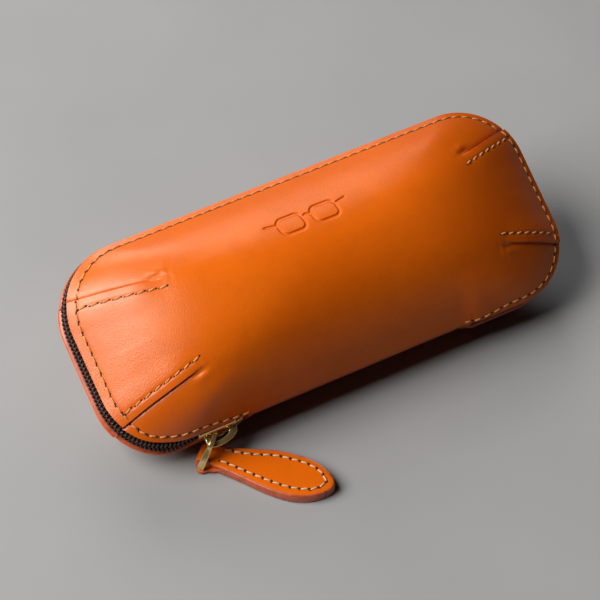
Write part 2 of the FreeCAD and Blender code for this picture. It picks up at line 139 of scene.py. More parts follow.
def mirrored_to_row(side):
    """to_row for pieces drawn for the upper half and, if side is negative, mirrored down."""
    return lambda points: to_row(points * np.array((1, 1, side)))


def pull_to_row(points):
    """Pull frame (x along the pull, y across, z up, origin on the link's lower bar) to row."""
    x, y, z = np.asarray(points, float).T
    c, s = math.cos(PULL_TURN), math.sin(PULL_TURN)
    return (np.column_stack((x * c - y * s, x * s + y * c, z)) + PULL_ORIGIN) * MM


def make(name, points, faces, materials, picks=None, smooth=True):
    """A mesh object from row-frame points in metres."""
    mesh = bpy.data.meshes.new(name)
    mesh.from_pydata([tuple(p) for p in points], [], [tuple(int(i) for i in f) for f in faces])
    for material in materials:
        mesh.materials.append(material)
    if picks is not None:
        mesh.polygons.foreach_set("material_index", np.asarray(picks, np.int32))
    mesh.polygons.foreach_set("use_smooth", [smooth] * len(mesh.polygons))
    mesh.validate()
    mesh.update()
    obj = bpy.data.objects.new(name, mesh)
    bpy.context.scene.collection.objects.link(obj)
    return obj


class Parts:
    """Collects the points and faces of many small shapes into one mesh."""

    def __init__(self):
        self.points, self.faces, self.picks, self.count = [], [], [], 0

    def add(self, points, faces, pick=0):
        self.points.append(np.asarray(points, float))
        self.faces.extend([tuple(i + self.count for i in face) for face in faces])
        self.picks.extend([pick] * len(faces))
        self.count += len(points)

    def build(self, name, materials, mapping):
        return make(name, mapping(np.vstack(self.points)), self.faces, materials, self.picks)


def grid_faces(rows, columns, closed=False):
    """Quads between consecutive rings of points; closed joins the last ring to the first."""
    faces = []
    for r in range(rows if closed else rows - 1):
        here, there = r * columns, (r + 1) % rows * columns
        for c in range(columns):
            n = (c + 1) % columns
            faces.append((here + c, here + n, there + n, there + c))
    return faces


def bar(rings, closed=False):
    """Points and faces of a bar through rings of points, with flat ends unless it is closed."""
    count, sides = len(rings), len(rings[0])
    faces = grid_faces(count, sides, closed)
    if not closed:
        faces.append(tuple(range(sides))[::-1])
        faces.append(tuple(range((count - 1) * sides, count * sides)))
    return np.reshape(rings, (-1, 3)), faces


def bowl(rings, poles=None):
    """Points and faces of a skin through rings of points, drawn to a pole at each end."""
    count, sides = len(rings), len(rings[0])
    total = count * sides
    if poles is None:
        poles = [(0, 0, rings[0][0, 2]), (0, 0, rings[-1][0, 2])]
    faces = grid_faces(count, sides)
    for c in range(sides):
        n = (c + 1) % sides
        faces.append((total, n, c))
        faces.append((total + 1, total - sides + c, total - sides + n))
    return np.vstack((*rings, poles)), faces


def turned(faces):
    """The same faces, looking the other way."""
    return [face[::-1] for face in faces]


def along_path(path, section, normals, closed=False):
    """A bar along a path. section gives places across it and towards its normals, each as one
    number or as one for each point of the path."""
    path = np.asarray(path, float)
    ahead, behind = np.roll(path, -1, 0), np.roll(path, 1, 0)
    if not closed:
        ahead[-1], behind[0] = path[-1], path[0]
    tangent = unit(ahead - behind)
    up = np.asarray(normals, float) * np.ones((len(path), 1))
    up = unit(up - (up * tangent).sum(1)[:, None] * tangent)
    across = np.cross(tangent, up)
    rings = [path + across * (a * np.ones(len(path)))[:, None]
             + up * (b * np.ones(len(path)))[:, None] for a, b in section]
    points, faces = bar(np.stack(rings, 1), closed)
    return points, [(face[0], *face[:0:-1]) for face in faces]


def unit(vectors):
    return vectors / np.linalg.norm(vectors, axis=-1, keepdims=True)


def tube(path, radius_across, radius_up, normals, sides):
    """A tube of elliptic section along a path; normals say where radius_up points."""
    angles = [2 * math.pi * k / sides for k in range(sides)]
    section = [(np.multiply(radius_across, math.cos(angle)),
                np.multiply(radius_up, math.sin(angle))) for angle in angles]
    return along_path(path, section, normals)


def ribbon(path, normals, half_width, half_thick, bevel=0.25, closed=False):
    """A bar of rounded rectangular section along a path."""
    section = []
    for sa, sb in ((1, 1), (-1, 1), (-1, -1), (1, -1)):
        corner = [(sa, sb * (1 - bevel)), (sa * (1 - bevel * 0.3), sb * (1 - bevel * 0.3)),
                  (sa * (1 - bevel), sb)]
        section += corner if sa * sb > 0 else corner[::-1]
    section = [(np.multiply(half_width, a), np.multiply(half_thick, b)) for a, b in section]
    return along_path(path, section, normals, closed)


def smoothstep(low, high, value):
    """0 at low and 1 at high, with an even start and end."""
    t = np.clip((np.asarray(value, float) - low) / (high - low), 0, 1)
    return t * t * (3 - 2 * t)


CURVE_STEPS = 24


def curve_through(points, count, closed=False, even=True):
    """Points on a Catmull-Rom curve through the given ones: evenly spread, or as many in each
    span between two of them."""
    p = np.asarray(points, float)
    if closed:
        knots = np.vstack((p[-1:], p, p[:2]))
    else:
        knots = np.vstack((2 * p[:1] - p[1:2], p, 2 * p[-1:] - p[-2:-1]))
    spans = len(knots) - 3
    t = np.linspace(0, 1, CURVE_STEPS, endpoint=False)[:, None]
    fine = []
    for a, b, c, d in zip(knots, knots[1:], knots[2:], knots[3:]):
        fine.append(0.5 * ((2 * b) + (c - a) * t + (2 * a - 5 * b + 4 * c - d) * t * t
                           + (3 * b - a - 3 * c + d) * t ** 3))
    if not even:
        return np.vstack(fine)[::CURVE_STEPS * spans // count]
    return respaced(np.vstack((*fine, p[0] if closed else p[-1])), count, closed)


def path_length(path):
    return np.linalg.norm(np.diff(path, axis=0), axis=1).sum()


def respaced(path, count, closed=False):
    """The same path with count evenly spaced points; a closed one doesn't repeat its start."""
    steps = np.linalg.norm(np.diff(path, axis=0), axis=1)
    along = np.concatenate(([0], np.cumsum(steps)))
    wanted = np.linspace(0, along[-1], count, endpoint=not closed)
    return np.column_stack([np.interp(wanted, along, path[:, k]) for k in range(path.shape[1])])


# ------------------------------------------------------------------ the rim outline
def level_width(scale):
    """Share of the case's width that the level set of a scale has."""
    return scale ** (LENGTH_POWER / WIDTH_POWER)


def outline(inset=0.0, step=0.25, scale=1.0):
    """The rim outline counter-clockwise from (+, 0), as points in the seam plane."""
    w = level_width(scale)
    a, b = (HALF_LENGTH - inset) * scale, (HALF_WIDTH - inset) * w
    r = (CORNER - inset) * w
    corners = [(a - r, b - r, 0.0), (r - a, b - r, 0.5), (r - a, r - b, 1.0), (a - r, r - b, 1.5)]
    path = [(a, 0.0)]
    for cx, cy, turn in corners:
        for t in np.linspace(0, 0.5, 24):
            angle = math.pi * (turn + t)
            path.append((cx + r * math.cos(angle), cy + r * math.sin(angle)))
    path = np.array(path + [(a, 0.0)])
    return respaced(path, max(8, int(path_length(path) / step)), closed=True)


def box_distance(x, y, half_x, half_y):
    """Distance outside a box round the origin, negative inside it."""
    qx, qy = np.abs(x) - half_x, np.abs(y) - half_y
    return np.hypot(np.maximum(qx, 0), np.maximum(qy, 0)) + np.minimum(np.maximum(qx, qy), 0)


def signed_distance(x, y, scale=1.0, inset=0.0):
    """Distance outside the level set of the given scale, negative inside it."""
    w = level_width(scale)
    r = (CORNER - inset) * w
    return box_distance(x, y, (HALF_LENGTH - inset) * scale - r, (HALF_WIDTH - inset) * w - r) - r


def slopes(field, x, y, step):
    """How steeply a field of the seam plane rises along x and along y, as two columns."""
    return np.column_stack(((field(x + step, y) - field(x - step, y)) / (2 * step),
                            (field(x, y + step) - field(x, y - step)) / (2 * step)))


def level_scale(x, y, inset=0.0):
    """Scale of the level set that passes through each point."""
    low = np.zeros_like(x)
    high = np.full_like(x, 1.08)
    for _ in range(34):
        middle = (low + high) / 2
        inside = signed_distance(x, y, middle, inset) < 0
        high = np.where(inside, middle, high)
        low = np.where(inside, low, middle)
    return (low + high) / 2


def plain_dome(x, y, inset=0.0):
    """Height of the dome that the level sets make, with slight hips towards its corners."""
    return SEAM_HALF + (CROWN - inset) * (1 - level_scale(x, y, inset) ** LENGTH_POWER)


# the square grid that the softened dome is kept on, mm, and how far the dome is evened out
GRID_STEP = 1.0
GRID_HALF = (90, 44)
SOFTENING = 6.5


def soft_grid(spread):
    """The plain dome on a square grid, evened out over a few millimetres."""
    gx, gy = np.meshgrid(*(np.arange(-half, half + 1) * GRID_STEP for half in GRID_HALF),
                         indexing="ij")
    height = plain_dome(gx.ravel(), gy.ravel()).reshape(gx.shape)
    reach = int(3 * spread)
    kernel = np.exp(-0.5 * (np.arange(-reach, reach + 1) / spread) ** 2)
    kernel /= kernel.sum()
    for axis in (0, 1):
        padded = np.pad(height, [(reach, reach) if a == axis else (0, 0) for a in (0, 1)],
                        mode="edge")
        height = np.apply_along_axis(lambda line: np.convolve(line, kernel, "valid"), axis,
                                     padded)
    return height


def grid_value(grid, x, y):
    """Cubic B-spline value of a grid at the given places, smooth to the second derivative."""
    total = np.zeros_like(x)
    fx, fy = x / GRID_STEP + GRID_HALF[0], y / GRID_STEP + GRID_HALF[1]
    ix, iy = np.floor(fx).astype(int), np.floor(fy).astype(int)
    tx, ty = fx - ix, fy - iy

    def weights(t):
        return ((1 - t) ** 3 / 6, (3 * t ** 3 - 6 * t ** 2 + 4) / 6,
                (-3 * t ** 3 + 3 * t ** 2 + 3 * t + 1) / 6, t ** 3 / 6)
    for a, wx in enumerate(weights(tx)):
        for b, wy in enumerate(weights(ty)):
            rows = np.clip(ix + a - 1, 0, grid.shape[0] - 1)
            columns = np.clip(iy + b - 1, 0, grid.shape[1] - 1)
            total += wx * wy * grid[rows, columns]
    return total


SOFT_DOME = soft_grid(SOFTENING)


def dome_height(x, y, inset=0.0):
    """Height of the dome over the seam plane: exact at the rim, softened further in."""
    plain = np.maximum(plain_dome(x, y, inset), SEAM_HALF)
    share = smoothstep(2.0, 17.0, -signed_distance(x, y))
    return plain * (1 - share) + (grid_value(SOFT_DOME, x, y) - inset) * share


# ------------------------------------------------------------------ leather relief
def dart_side(sx, sy):
    """Distance of a dart's inner end from the middle line; the front right one lies nearer."""
    return DART_INNER[1] - (DART_RAISE if sx > 0 and sy < 0 else 0)


def dart_frame(x, y, sx, sy):
    """Place along a dart (0 at its inner end) and across it (0 at the cut edge, + towards the
    corner of the case)."""
    px, py = x * sx - DART_INNER[0], y * sy - dart_side(sx, sy)
    dx, dy = DART_OUTER[0] - DART_INNER[0], DART_OUTER[1] - DART_INNER[1]
    length = math.hypot(dx, dy)
    dx, dy = dx / length, dy / length
    # the darts of the right end are shorter
    return px * dx + py * dy - (DART_SHIFT if sx > 0 else 0), -px * dy + py * dx - DART_EDGE


def dart_relief(along, across, raised):
    """Height that the overlapping end panel adds. raised marks the points on its side."""
    lift = DART_LIFT * smoothstep(-1.0, 9.0, along)
    top = lift * smoothstep(-11.0, -0.4, across) * np.where(raised, 1.0, 0.0)
    row = (-0.2 * np.exp(-((across + DART_EDGE) / 0.55) ** 2) * smoothstep(-1, 1, along)
           * smoothstep(26, 22, along))
    under = -0.75 * np.exp(-np.maximum(across, 0) / 0.7) * smoothstep(0, 4, along)
    under = np.where(raised, 0.0, under)
    pucker = 0.24 * np.exp(-((along - 0.8) / 2.4) ** 2 - ((across - 3.0) / 1.3) ** 2)
    ripple = 0.09 * np.cos((along + 1.6) * 2.4) * np.exp(-((along + 1.6) / 2.2) ** 2
                                                         - ((across - 1.6) / 3.0) ** 2)
    dent = -0.5 * np.exp(-((along - 1.0) / 2.4) ** 2 - ((across - 0.9) / 0.9) ** 2)
    return top + row + under + pucker + ripple + dent


def relief(x, y, raised):
    """Everything that the sewn leather adds to the plain dome, in mm of height."""
    depth = -signed_distance(x, y)
    end = smoothstep(58, 76, np.abs(x))
    pinch = end * PINCH_ENDS + (1 - end) * np.where(y > 0, PINCH_BACK, PINCH_FRONT)
    t = np.maximum(depth, 0) / PINCH_INSET
    height = -pinch * t * np.exp(1 - t)
    # the groove that the rim seam lies in
    height += -0.16 * np.exp(-((depth - stitch_inset(x, y)) / 0.5) ** 2) * sewn(x, y)
    for index, (sx, sy) in enumerate(DARTS):
        along, across = dart_frame(x, y, sx, sy)
        near = (x * sx > 30) & (y * sy > 0)
        height += np.where(near, dart_relief(along, across, raised[index]), 0.0)
    # slow unevenness of hand-formed leather
    height += 0.16 * np.sin(x / 17 + 1.3) * np.sin(y / 9.0 + 0.4) * smoothstep(3, 12, depth)
    return height


def stitch_inset(x, y):
    """How far the rim seam lies inside the outline: nearer to it along the steep front, and
    further in at the left end."""
    inset = STITCH_INSET + STITCH_LEFT * smoothstep(56, 74, -x)
    front = STITCH_INSET_FRONT * (0.35 + 0.65 * smoothstep(SPINE_HALF, 58, np.abs(x)))
    return inset + (front - inset) * smoothstep(18, 31, -y)


EMBLEM = (-1.0, 15.2)
STAMP_DEPTH = 0.5


def emblem(x, y):
    """Depth share of a small stamped outline of a pair of glasses."""
    px, py = x - EMBLEM[0], y - EMBLEM[1]

    def stroke(distance):
        return 1 - smoothstep(0.26, 0.74, distance)

    def segment(ax, ay, bx, by):
        t = np.clip(((px - ax) * (bx - ax) + (py - ay) * (by - ay))
                    / ((bx - ax) ** 2 + (by - ay) ** 2), 0, 1)
        return np.hypot(px - ax - t * (bx - ax), py - ay - t * (by - ay))
    lens = box_distance(np.abs(px) - 5.9, py, 2.1, 0.8)
    marks = [stroke(np.abs(lens - 2.2)), stroke(segment(-1.7, 0.9, 0.0, 1.5)),
             stroke(segment(0.0, 1.5, 1.7, 0.9)), stroke(segment(10.2, 1.3, 14.0, 2.0)),
             stroke(segment(-10.2, 1.3, -14.0, 2.0))]
    return np.max(marks, axis=0)


def sewn(x, y):
    """1 where the rim seam runs, 0 along the spine."""
    return 1 - (1 - smoothstep(SPINE_HALF - 2, SPINE_HALF + 2, np.abs(x))) * (y < 0)


def raised_sides(x, y):
    """Which of the places lie on the raised side of each dart."""
    return [dart_frame(x, y, sx, sy)[1] <= 0 for sx, sy in DARTS]


def leather_height(x, y, raised=None):
    """Height of the upper leather over the seam plane."""
    x, y = np.asarray(x, float), np.asarray(y, float)
    return dome_height(x, y) + relief(x, y, raised_sides(x, y) if raised is None else raised)


def surface(x, y):
    """Points and outward normals of the upper leather at places of the seam plane."""
    normals = np.column_stack((-slopes(leather_height, x, y, 0.15), np.ones_like(x)))
    return np.column_stack((x, y, leather_height(x, y))), unit(normals)


def rest_flat(points):
    """Row-frame points in metres, softly stopped by the surface the case lies on."""
    z = points[:, 2]
    soft = 0.25 * MM
    points[:, 2] = 0.5 * (z + np.sqrt(z * z + soft * soft))
    return points


# ------------------------------------------------------------------ materials
def srgb(r, g, b):
    """Linear colour from display values of 0 to 255."""
    def one(v):
        v = v / 255
        return v / 12.92 if v <= 0.04045 else ((v + 0.055) / 1.055) ** 2.4
    return (one(r), one(g), one(b), 1.0)


class Nodes:
    """Short way to write a material's node tree."""

    def __init__(self, name):
        self.material = bpy.data.materials.new(name)
        self.material.use_nodes = True
        self.tree = self.material.node_tree
        self.shader = self.tree.nodes["Principled BSDF"]
        self.place = self.add("ShaderNodeTexCoord").outputs["Object"]

    def add(self, kind, inputs=None, **settings):
        node = self.tree.nodes.new(kind)
        for key, value in settings.items():
            setattr(node, key, value)
        for key, value in (inputs or {}).items():
            self.feed(node.inputs[key], value)
        return node

    def feed(self, socket, value):
        if hasattr(value, "is_linked"):
            self.tree.links.new(value, socket)
        else:
            socket.default_value = value

    def set(self, **inputs):
        for key, value in inputs.items():
            self.feed(self.shader.inputs[key.replace("_", " ")], value)

    def math(self, operation, a, b=0.0, c=0.0):
        return self.add("ShaderNodeMath", {0: a, 1: b, 2: c}, operation=operation).outputs[0]

    def noise(self, scale, detail=4.0, roughness=0.55, stretch=None, distortion=0.0):
        place = self.place
        if stretch:
            place = self.add("ShaderNodeMapping", {"Vector": place, "Scale": stretch}).outputs[0]
        return self.add("ShaderNodeTexNoise", {"Vector": place, "Scale": scale, "Detail": detail,
                                               "Roughness": roughness,
                                               "Distortion": distortion}).outputs["Fac"]

    def wave(self, scale, distortion, detail, direction="X"):
        return self.add("ShaderNodeTexWave", {"Vector": self.place, "Scale": scale,
                                              "Distortion": distortion, "Detail": detail},
                        bands_direction=direction).outputs["Fac"]

    def cells(self, scale, feature="F1"):
        return self.add("ShaderNodeTexVoronoi", {"Vector": self.place, "Scale": scale},
                        feature=feature).outputs["Distance"]

    def blend(self, factor, a, b):
        node = self.add("ShaderNodeMix", data_type="RGBA")
        self.feed(node.inputs[0], factor)
        self.feed(node.inputs[6], a)
        self.feed(node.inputs[7], b)
        return node.outputs[2]

    def ramp(self, value, stops):
        node = self.add("ShaderNodeValToRGB", {"Fac": value})
        while len(node.color_ramp.elements) < len(stops):
            node.color_ramp.elements.new(0.5)
        for element, (place, colour) in zip(node.color_ramp.elements, stops):
            element.position = place
            element.color = colour
        return node.outputs["Color"]

    def remap(self, value, low, high, to_low, to_high):
        return self.add("ShaderNodeMapRange", {"Value": value, "From Min": low, "From Max": high,
                                               "To Min": to_low, "To Max": to_high}).outputs[0]

    def bump(self, height, strength, distance, before=None):
        inputs = {"Height": height, "Strength": strength, "Distance": distance}
        if before is not None:
            inputs["Normal"] = before
        return self.add("ShaderNodeBump", inputs).outputs["Normal"]


def leather_material(name, light, deep, dark, painted_light=0.0):
    """Smooth vegetable-tanned leather: fine pebble grain, pores, soft colour pooling and wax.
    Its last argument sets the painted light: painted shade deepens the far end and the lower
    front, and a painted highlight makes the specular of the near end stronger and whiter."""
    n = Nodes(name)
    x, y, z = n.add("ShaderNodeSeparateXYZ", {"Vector": n.place}).outputs
    # painted shade: darker along the lower front and towards the far end, where the lamps leave it
    # in shade
    low_front_shade = n.math("MULTIPLY", n.remap(y, -0.008, -0.034, 0, 0.8 * painted_light),
                       n.remap(z, 0.036, 0.012, 0, 1))
    painted_shade = n.math("MAXIMUM", low_front_shade, n.remap(x, 0.03, 0.078, 0, 0.6 * painted_light))
    # painted highlight: a mask towards the near end, where the window's highlight falls
    near_end_highlight = n.remap(x, -0.04, -0.064, 0, painted_light)
    broad = n.noise(28, 3, 0.5)
    medium = n.noise(160, 5, 0.6)
    fine = n.noise(900, 3, 0.6)
    pores = n.cells(2100)
    pebble = n.cells(1500, "DISTANCE_TO_EDGE")
    colour = n.blend(n.remap(broad, 0.35, 0.65, 0, 1), deep, light)
    colour = n.blend(n.remap(medium, 0.45, 0.75, 0, 0.16), colour, dark)
    colour = n.blend(n.remap(pores, 0.0, 0.22, 0.28, 0.0), colour, dark)
    # the painted shade laid into the colour
    colour = n.blend(painted_shade, colour, dark)
    grain = n.math("MULTIPLY_ADD", fine, 0.5, n.math("MULTIPLY", pebble, 1.2))
    rough = n.remap(n.math("MULTIPLY_ADD", medium, 0.6, n.math("MULTIPLY", fine, 0.4)),
                    0.3, 0.7, 0.27, 0.37)
    soft = n.bump(n.noise(70, 4, 0.5), 0.05, 0.0012)
    # the painted highlight raises and whitens the specular at the near end
    n.set(Base_Color=colour, Roughness=rough, Normal=n.bump(grain, 0.4, 0.00014, soft),
          Specular_IOR_Level=n.math("MULTIPLY_ADD", near_end_highlight, 0.3, 0.3),
          Specular_Tint=n.blend(near_end_highlight, (1.0, 0.72, 0.46, 1), (1.0, 0.92, 0.82, 1)))
    return n.material


def edge_material():
    """Painted leather edge: smooth, slightly waxy."""
    n = Nodes("edge_paint")
    tone = n.noise(420, 4, 0.6)
    colour = n.ramp(tone, [(0.3, srgb(150, 62, 32)), (0.55, srgb(188, 86, 50)),
                           (0.8, srgb(200, 102, 64))])
    n.set(Base_Color=colour, Roughness=n.remap(tone, 0.3, 0.7, 0.3, 0.42),
          Normal=n.bump(n.noise(1600, 3), 0.2, 0.0001), Specular_IOR_Level=0.6)
    return n.material


def thread_material(name, light, deep):
    """Waxed thread, twisted."""
    n = Nodes(name)
    twist = n.wave(900.0, 3.0, 2.0)
    tone = n.noise(700, 3)
    colour = n.blend(n.remap(tone, 0.3, 0.7, 0, 1), deep, light)
    colour = n.blend(n.math("MULTIPLY", twist, 0.35), colour, srgb(150, 88, 36))
    n.set(Base_Color=colour, Roughness=0.5, Normal=n.bump(twist, 0.5, 0.00012),
          Sheen_Weight=0.2)
    return n.material


def hole_shade_material():
    """Painted shade of a needle hole: a dark colour standing in for the shade inside it."""
    n = Nodes("needle_hole_shade")
    n.set(Base_Color=n.ramp(n.noise(900), [(0.3, srgb(62, 26, 10)), (0.7, srgb(92, 42, 16))]),
          Roughness=0.9)
    return n.material


def coil_material():
    """Dark brown nylon monofilament."""
    n = Nodes("nylon_coil")
    tone = n.noise(300, 3)
    colour = n.ramp(tone, [(0.3, srgb(30, 15, 11)), (0.7, srgb(64, 32, 23))])
    n.set(Base_Color=colour, Roughness=n.remap(tone, 0.3, 0.7, 0.32, 0.46),
          Normal=n.bump(n.noise(2500, 2), 0.12, 0.00005), Specular_IOR_Level=0.4)
    return n.material


def tape_material():
    """Herringbone woven zipper tape."""
    n = Nodes("zip_tape")
    warp = n.wave(520.0, 0.6, 1.0)
    weft = n.wave(420.0, 0.6, 1.0, "DIAGONAL")
    weave = n.math("MAXIMUM", warp, weft)
    colour = n.blend(weave, srgb(24, 15, 12), srgb(58, 38, 30))
    n.set(Base_Color=colour, Roughness=0.86, Normal=n.bump(weave, 0.6, 0.00018),
          Sheen_Weight=0.25)
    return n.material


def suede_material():
    """Brushed pigskin lining."""
    n = Nodes("suede_lining")
    nap = n.noise(520, 6, 0.7)
    patch = n.noise(36, 4, 0.6, distortion=1.2)
    colour = n.blend(n.remap(patch, 0.35, 0.65, 0, 1), srgb(96, 62, 38), srgb(128, 86, 54))
    colour = n.blend(n.remap(nap, 0.4, 0.8, 0, 0.4), colour, srgb(60, 36, 22))
    n.set(Base_Color=colour, Roughness=0.95, Normal=n.bump(nap, 0.45, 0.0004),
          Sheen_Weight=0.5, Sheen_Roughness=0.5)
    return n.material


def brass_material(name, tint, rough):
    """Plated zinc casting: bright, with fine tumbling marks."""
    n = Nodes(name)
    tone = n.noise(240, 4)
    scratch = n.noise(900, 3, 0.6, stretch=(1.0, 1.0, 6.0))
    colour = n.blend(n.remap(tone, 0.3, 0.7, 0, 1), tint, srgb(226, 190, 120))
    n.set(Base_Color=colour, Metallic=0.86,
          Roughness=n.remap(scratch, 0.3, 0.7, rough, rough + 0.1),
          Normal=n.bump(scratch, 0.01, 0.00002))
    return n.material


# the case's leather carries the painted shade and highlight; the pull's leather has none
TAN = leather_material("leather_tan", (0.70, 0.125, 0.003, 1), (0.64, 0.108, 0.002, 1),
                       (0.36, 0.05, 0.001, 1), painted_light=1.0)
PULL_TAN = leather_material("leather_pull", (0.70, 0.130, 0.003, 1), (0.64, 0.112, 0.002, 1),
                            (0.36, 0.05, 0.001, 1))
EDGE = edge_material()
THREAD = thread_material("waxed_thread", srgb(228, 158, 80), srgb(202, 126, 52))
PALE_THREAD = thread_material("pull_thread", srgb(240, 204, 154), srgb(222, 174, 118))
HOLE_SHADE = hole_shade_material()
COIL = coil_material()
SEWING = thread_material("tape_sewing", srgb(150, 104, 88), srgb(110, 70, 56))
TAPE = tape_material()
SUEDE = suede_material()
BRASS = brass_material("plated_brass", srgb(246, 220, 156), 0.17)


def done(obj, body, slot, *nodes):
    """Says what body a piece rides on and which nodes it replaces. Its slot argument is not used.
    """
    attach(obj, body)
    if nodes:
        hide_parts(*nodes)
    return obj


# ------------------------------------------------------------------ leather halves
# share of the outline's length on each side of a cut edge, at its own columns and at the last
# of the finer ones; and the stretch along the back where the stamp needs finer columns too
CUT_GAP, CUT_REACH = 0.00035, 0.012
STAMP_REACH = (0.19, 0.31)


def cut_crossing(path, sx, sy, beyond):
    """Share of a level set's length at which it crosses a dart's cut edge, or None."""
    across = dart_frame(*path.T, sx, sy)[1]
    here = (path[:, 0] * sx > beyond) & (path[:, 1] * sy > 0)
    flips = np.where(here[:-1] & (np.sign(across[:-1]) != np.sign(across[1:])))[0]
    if len(flips) == 0:
        return None
    a, b = across[flips[0]], across[flips[0] + 1]
    return (flips[0] + a / (a - b)) / len(path)


def shell_columns(edges, stamped):
    """Shares of the outline's length at which the shell has a column of points. Two columns
    stand side by side at each cut edge, one on each side of it."""
    base = np.linspace(0, 1, 560, endpoint=False)
    if stamped:
        low, high = STAMP_REACH
        base = np.concatenate((base[(base < low) | (base > high)], np.linspace(low, high, 190)))
    shares = []
    for edge in edges:
        base = base[np.abs((base - edge + 0.5) % 1 - 0.5) > CUT_REACH]
        fine = np.linspace(CUT_GAP, CUT_REACH, 14)
        shares.extend((edge + np.concatenate((-fine, fine))) % 1)
    return np.sort(np.concatenate((base, shares)))


def level_points(path, shares, edges, crossings, follow):
    """Points of one level set, its columns shifted to follow the cut edges of the darts."""
    table = sorted(zip(edges, crossings))
    source, target = np.array(table).T
    target = source + (target - source) * follow
    source = np.concatenate((source[-1:] - 1, source, source[:1] + 1))
    target = np.concatenate((target[-1:] - 1, target, target[:1] + 1))
    index = np.interp(shares, source, target) % 1 * len(path)
    low = np.floor(index).astype(int) % len(path)
    t = (index - np.floor(index))[:, None]
    return path[low] * (1 - t) + path[(low + 1) % len(path)] * t


# steps in scale from one ring of the leather to the next: fine over the seam, the dart ends
# and the stamp
RING_STEPS = np.concatenate((np.full(14, 0.0042), np.full(30, 0.0062), np.full(12, 0.0088),
                             np.full(54, 0.0044), np.full(120, 0.0088)))
SMALLEST_SCALE = 0.035


def outer_rings(shares, edges, stamped):
    """The leather's outer face, from its rim to nearly its middle."""
    raised = [((edge - shares) if sx * sy > 0 else (shares - edge)) for (sx, sy), edge
              in zip(DARTS, edges)]
    raised = [((r + 0.5) % 1 - 0.5) > 0 for r in raised]
    scales = 1 - np.concatenate(([0], np.cumsum(RING_STEPS)))
    last_followed = (DART_INNER[0] - 3.0) / HALF_LENGTH
    rings = []
    for scale in scales[scales > SMALLEST_SCALE]:
        path = outline(step=0.12 if scale > 0.5 else 0.06, scale=scale)
        if scale >= last_followed:
            found = [cut_crossing(path, sx, sy, 20) for sx, sy in DARTS]
            if None not in found:
                crossings = found
        follow = min(1.0, scale / last_followed)
        xy = level_points(path, shares, edges, crossings, follow)
        z = leather_height(*xy.T, raised)
        if stamped:
            z -= STAMP_DEPTH * emblem(*xy.T)
        rings.append(np.column_stack((xy, z)))
    return rings


def inner_rings(rim):
    """The leather's inner face, from nearly its middle to its rim."""
    inset = LEATHER - 0.03
    rings = []
    for scale in (0.04, 0.2, 0.4, 0.6, 0.75, 0.86, 0.93, 0.975, 1.0):
        xy = rim[:, :2] * (scale * (HALF_LENGTH - inset) / HALF_LENGTH,
                           level_width(scale) * (HALF_WIDTH - inset) / HALF_WIDTH)
        rings.append(np.column_stack((xy, inside_height(xy, inset))))
    return rings


def inside_height(xy, inset):
    """Height of the dome a given thickness further in, kept just clear of its own rim."""
    x, y = xy.T * 0.9999
    return dome_height(x, y, inset)


def edge_rings(rim):
    """The painted edge, from the inner face to the outer one."""
    profile = [(1.75, 0.0), (1.70, -0.3), (1.45, -0.62), (1.1, -0.78), (0.7, -0.68),
               (0.35, -0.5), (0.1, -0.24)]
    normal = rim_normals(rim[:, :2])
    lift = (rim[:, 2] - SEAM_HALF) / len(profile)
    return [np.column_stack((rim[:, :2] - normal * inset, SEAM_HALF + drop + lift * count))
            for count, (inset, drop) in enumerate(profile)]


def shell_mesh(name, side, body, node):
    """One leather half, as a closed skin: outer face, painted edge and inner face."""
    upper = side > 0
    rim_path = outline(step=0.1)
    edges = [cut_crossing(rim_path, sx, sy, 30) for sx, sy in DARTS]
    shares = shell_columns(edges, upper)
    outer = outer_rings(shares, edges, upper)
    inner, edge = inner_rings(outer[0]), edge_rings(outer[0])
    rings = inner + edge + outer
    middle = (0, 0, float(leather_height([0.0], [0.0])[0]))
    points, faces = bowl(rings, [(0, 0, SEAM_HALF + CROWN - LEATHER), middle])
    columns, before_outer = len(shares), len(inner) + len(edge)
    picks = np.zeros(len(faces), int)
    picks[(len(inner) - 1) * columns:(before_outer - 1) * columns] = 1
    # the cut edges of the darts are painted too
    for share in edges:
        left = (np.searchsorted(shares, share) - 1) % columns
        for row in range(before_outer - 1, len(rings) - 1):
            x = outer[max(0, row - before_outer)][left][0]
            if x < -50 or x > 50 + DART_SHIFT + 1:
                picks[row * columns + left] = 1
    points[:, 2] *= side
    points = to_row(points)
    obj = make(name, points if upper else rest_flat(points), faces if upper else turned(faces),
               [TAN, EDGE], picks)
    mark_sharp(obj, 38)
    return done(obj, body, "leather_tan", node)


def mark_sharp(obj, degrees):
    """Keeps crisp the edges whose faces meet at more than the given angle."""
    mesh = obj.data
    normals = np.array([tuple(p.normal) for p in mesh.polygons])
    owners = {}
    for polygon in mesh.polygons:
        for key in polygon.edge_keys:
            owners.setdefault(key, []).append(polygon.index)
    limit = math.cos(math.radians(degrees))
    for edge in mesh.edges:
        pair = owners.get(edge.key, [])
        edge.use_edge_sharp = len(pair) == 2 and float(normals[pair[0]] @ normals[pair[1]]) < limit


def rim_normals(xy):
    """Outward direction of the rim outline at points on or near it."""
    return unit(slopes(signed_distance, *xy.T, 0.05))


shell_mesh("leather_upper", 1, "lid", "upper_shell")
shell_mesh("leather_lower", -1, "base", "lower_shell")


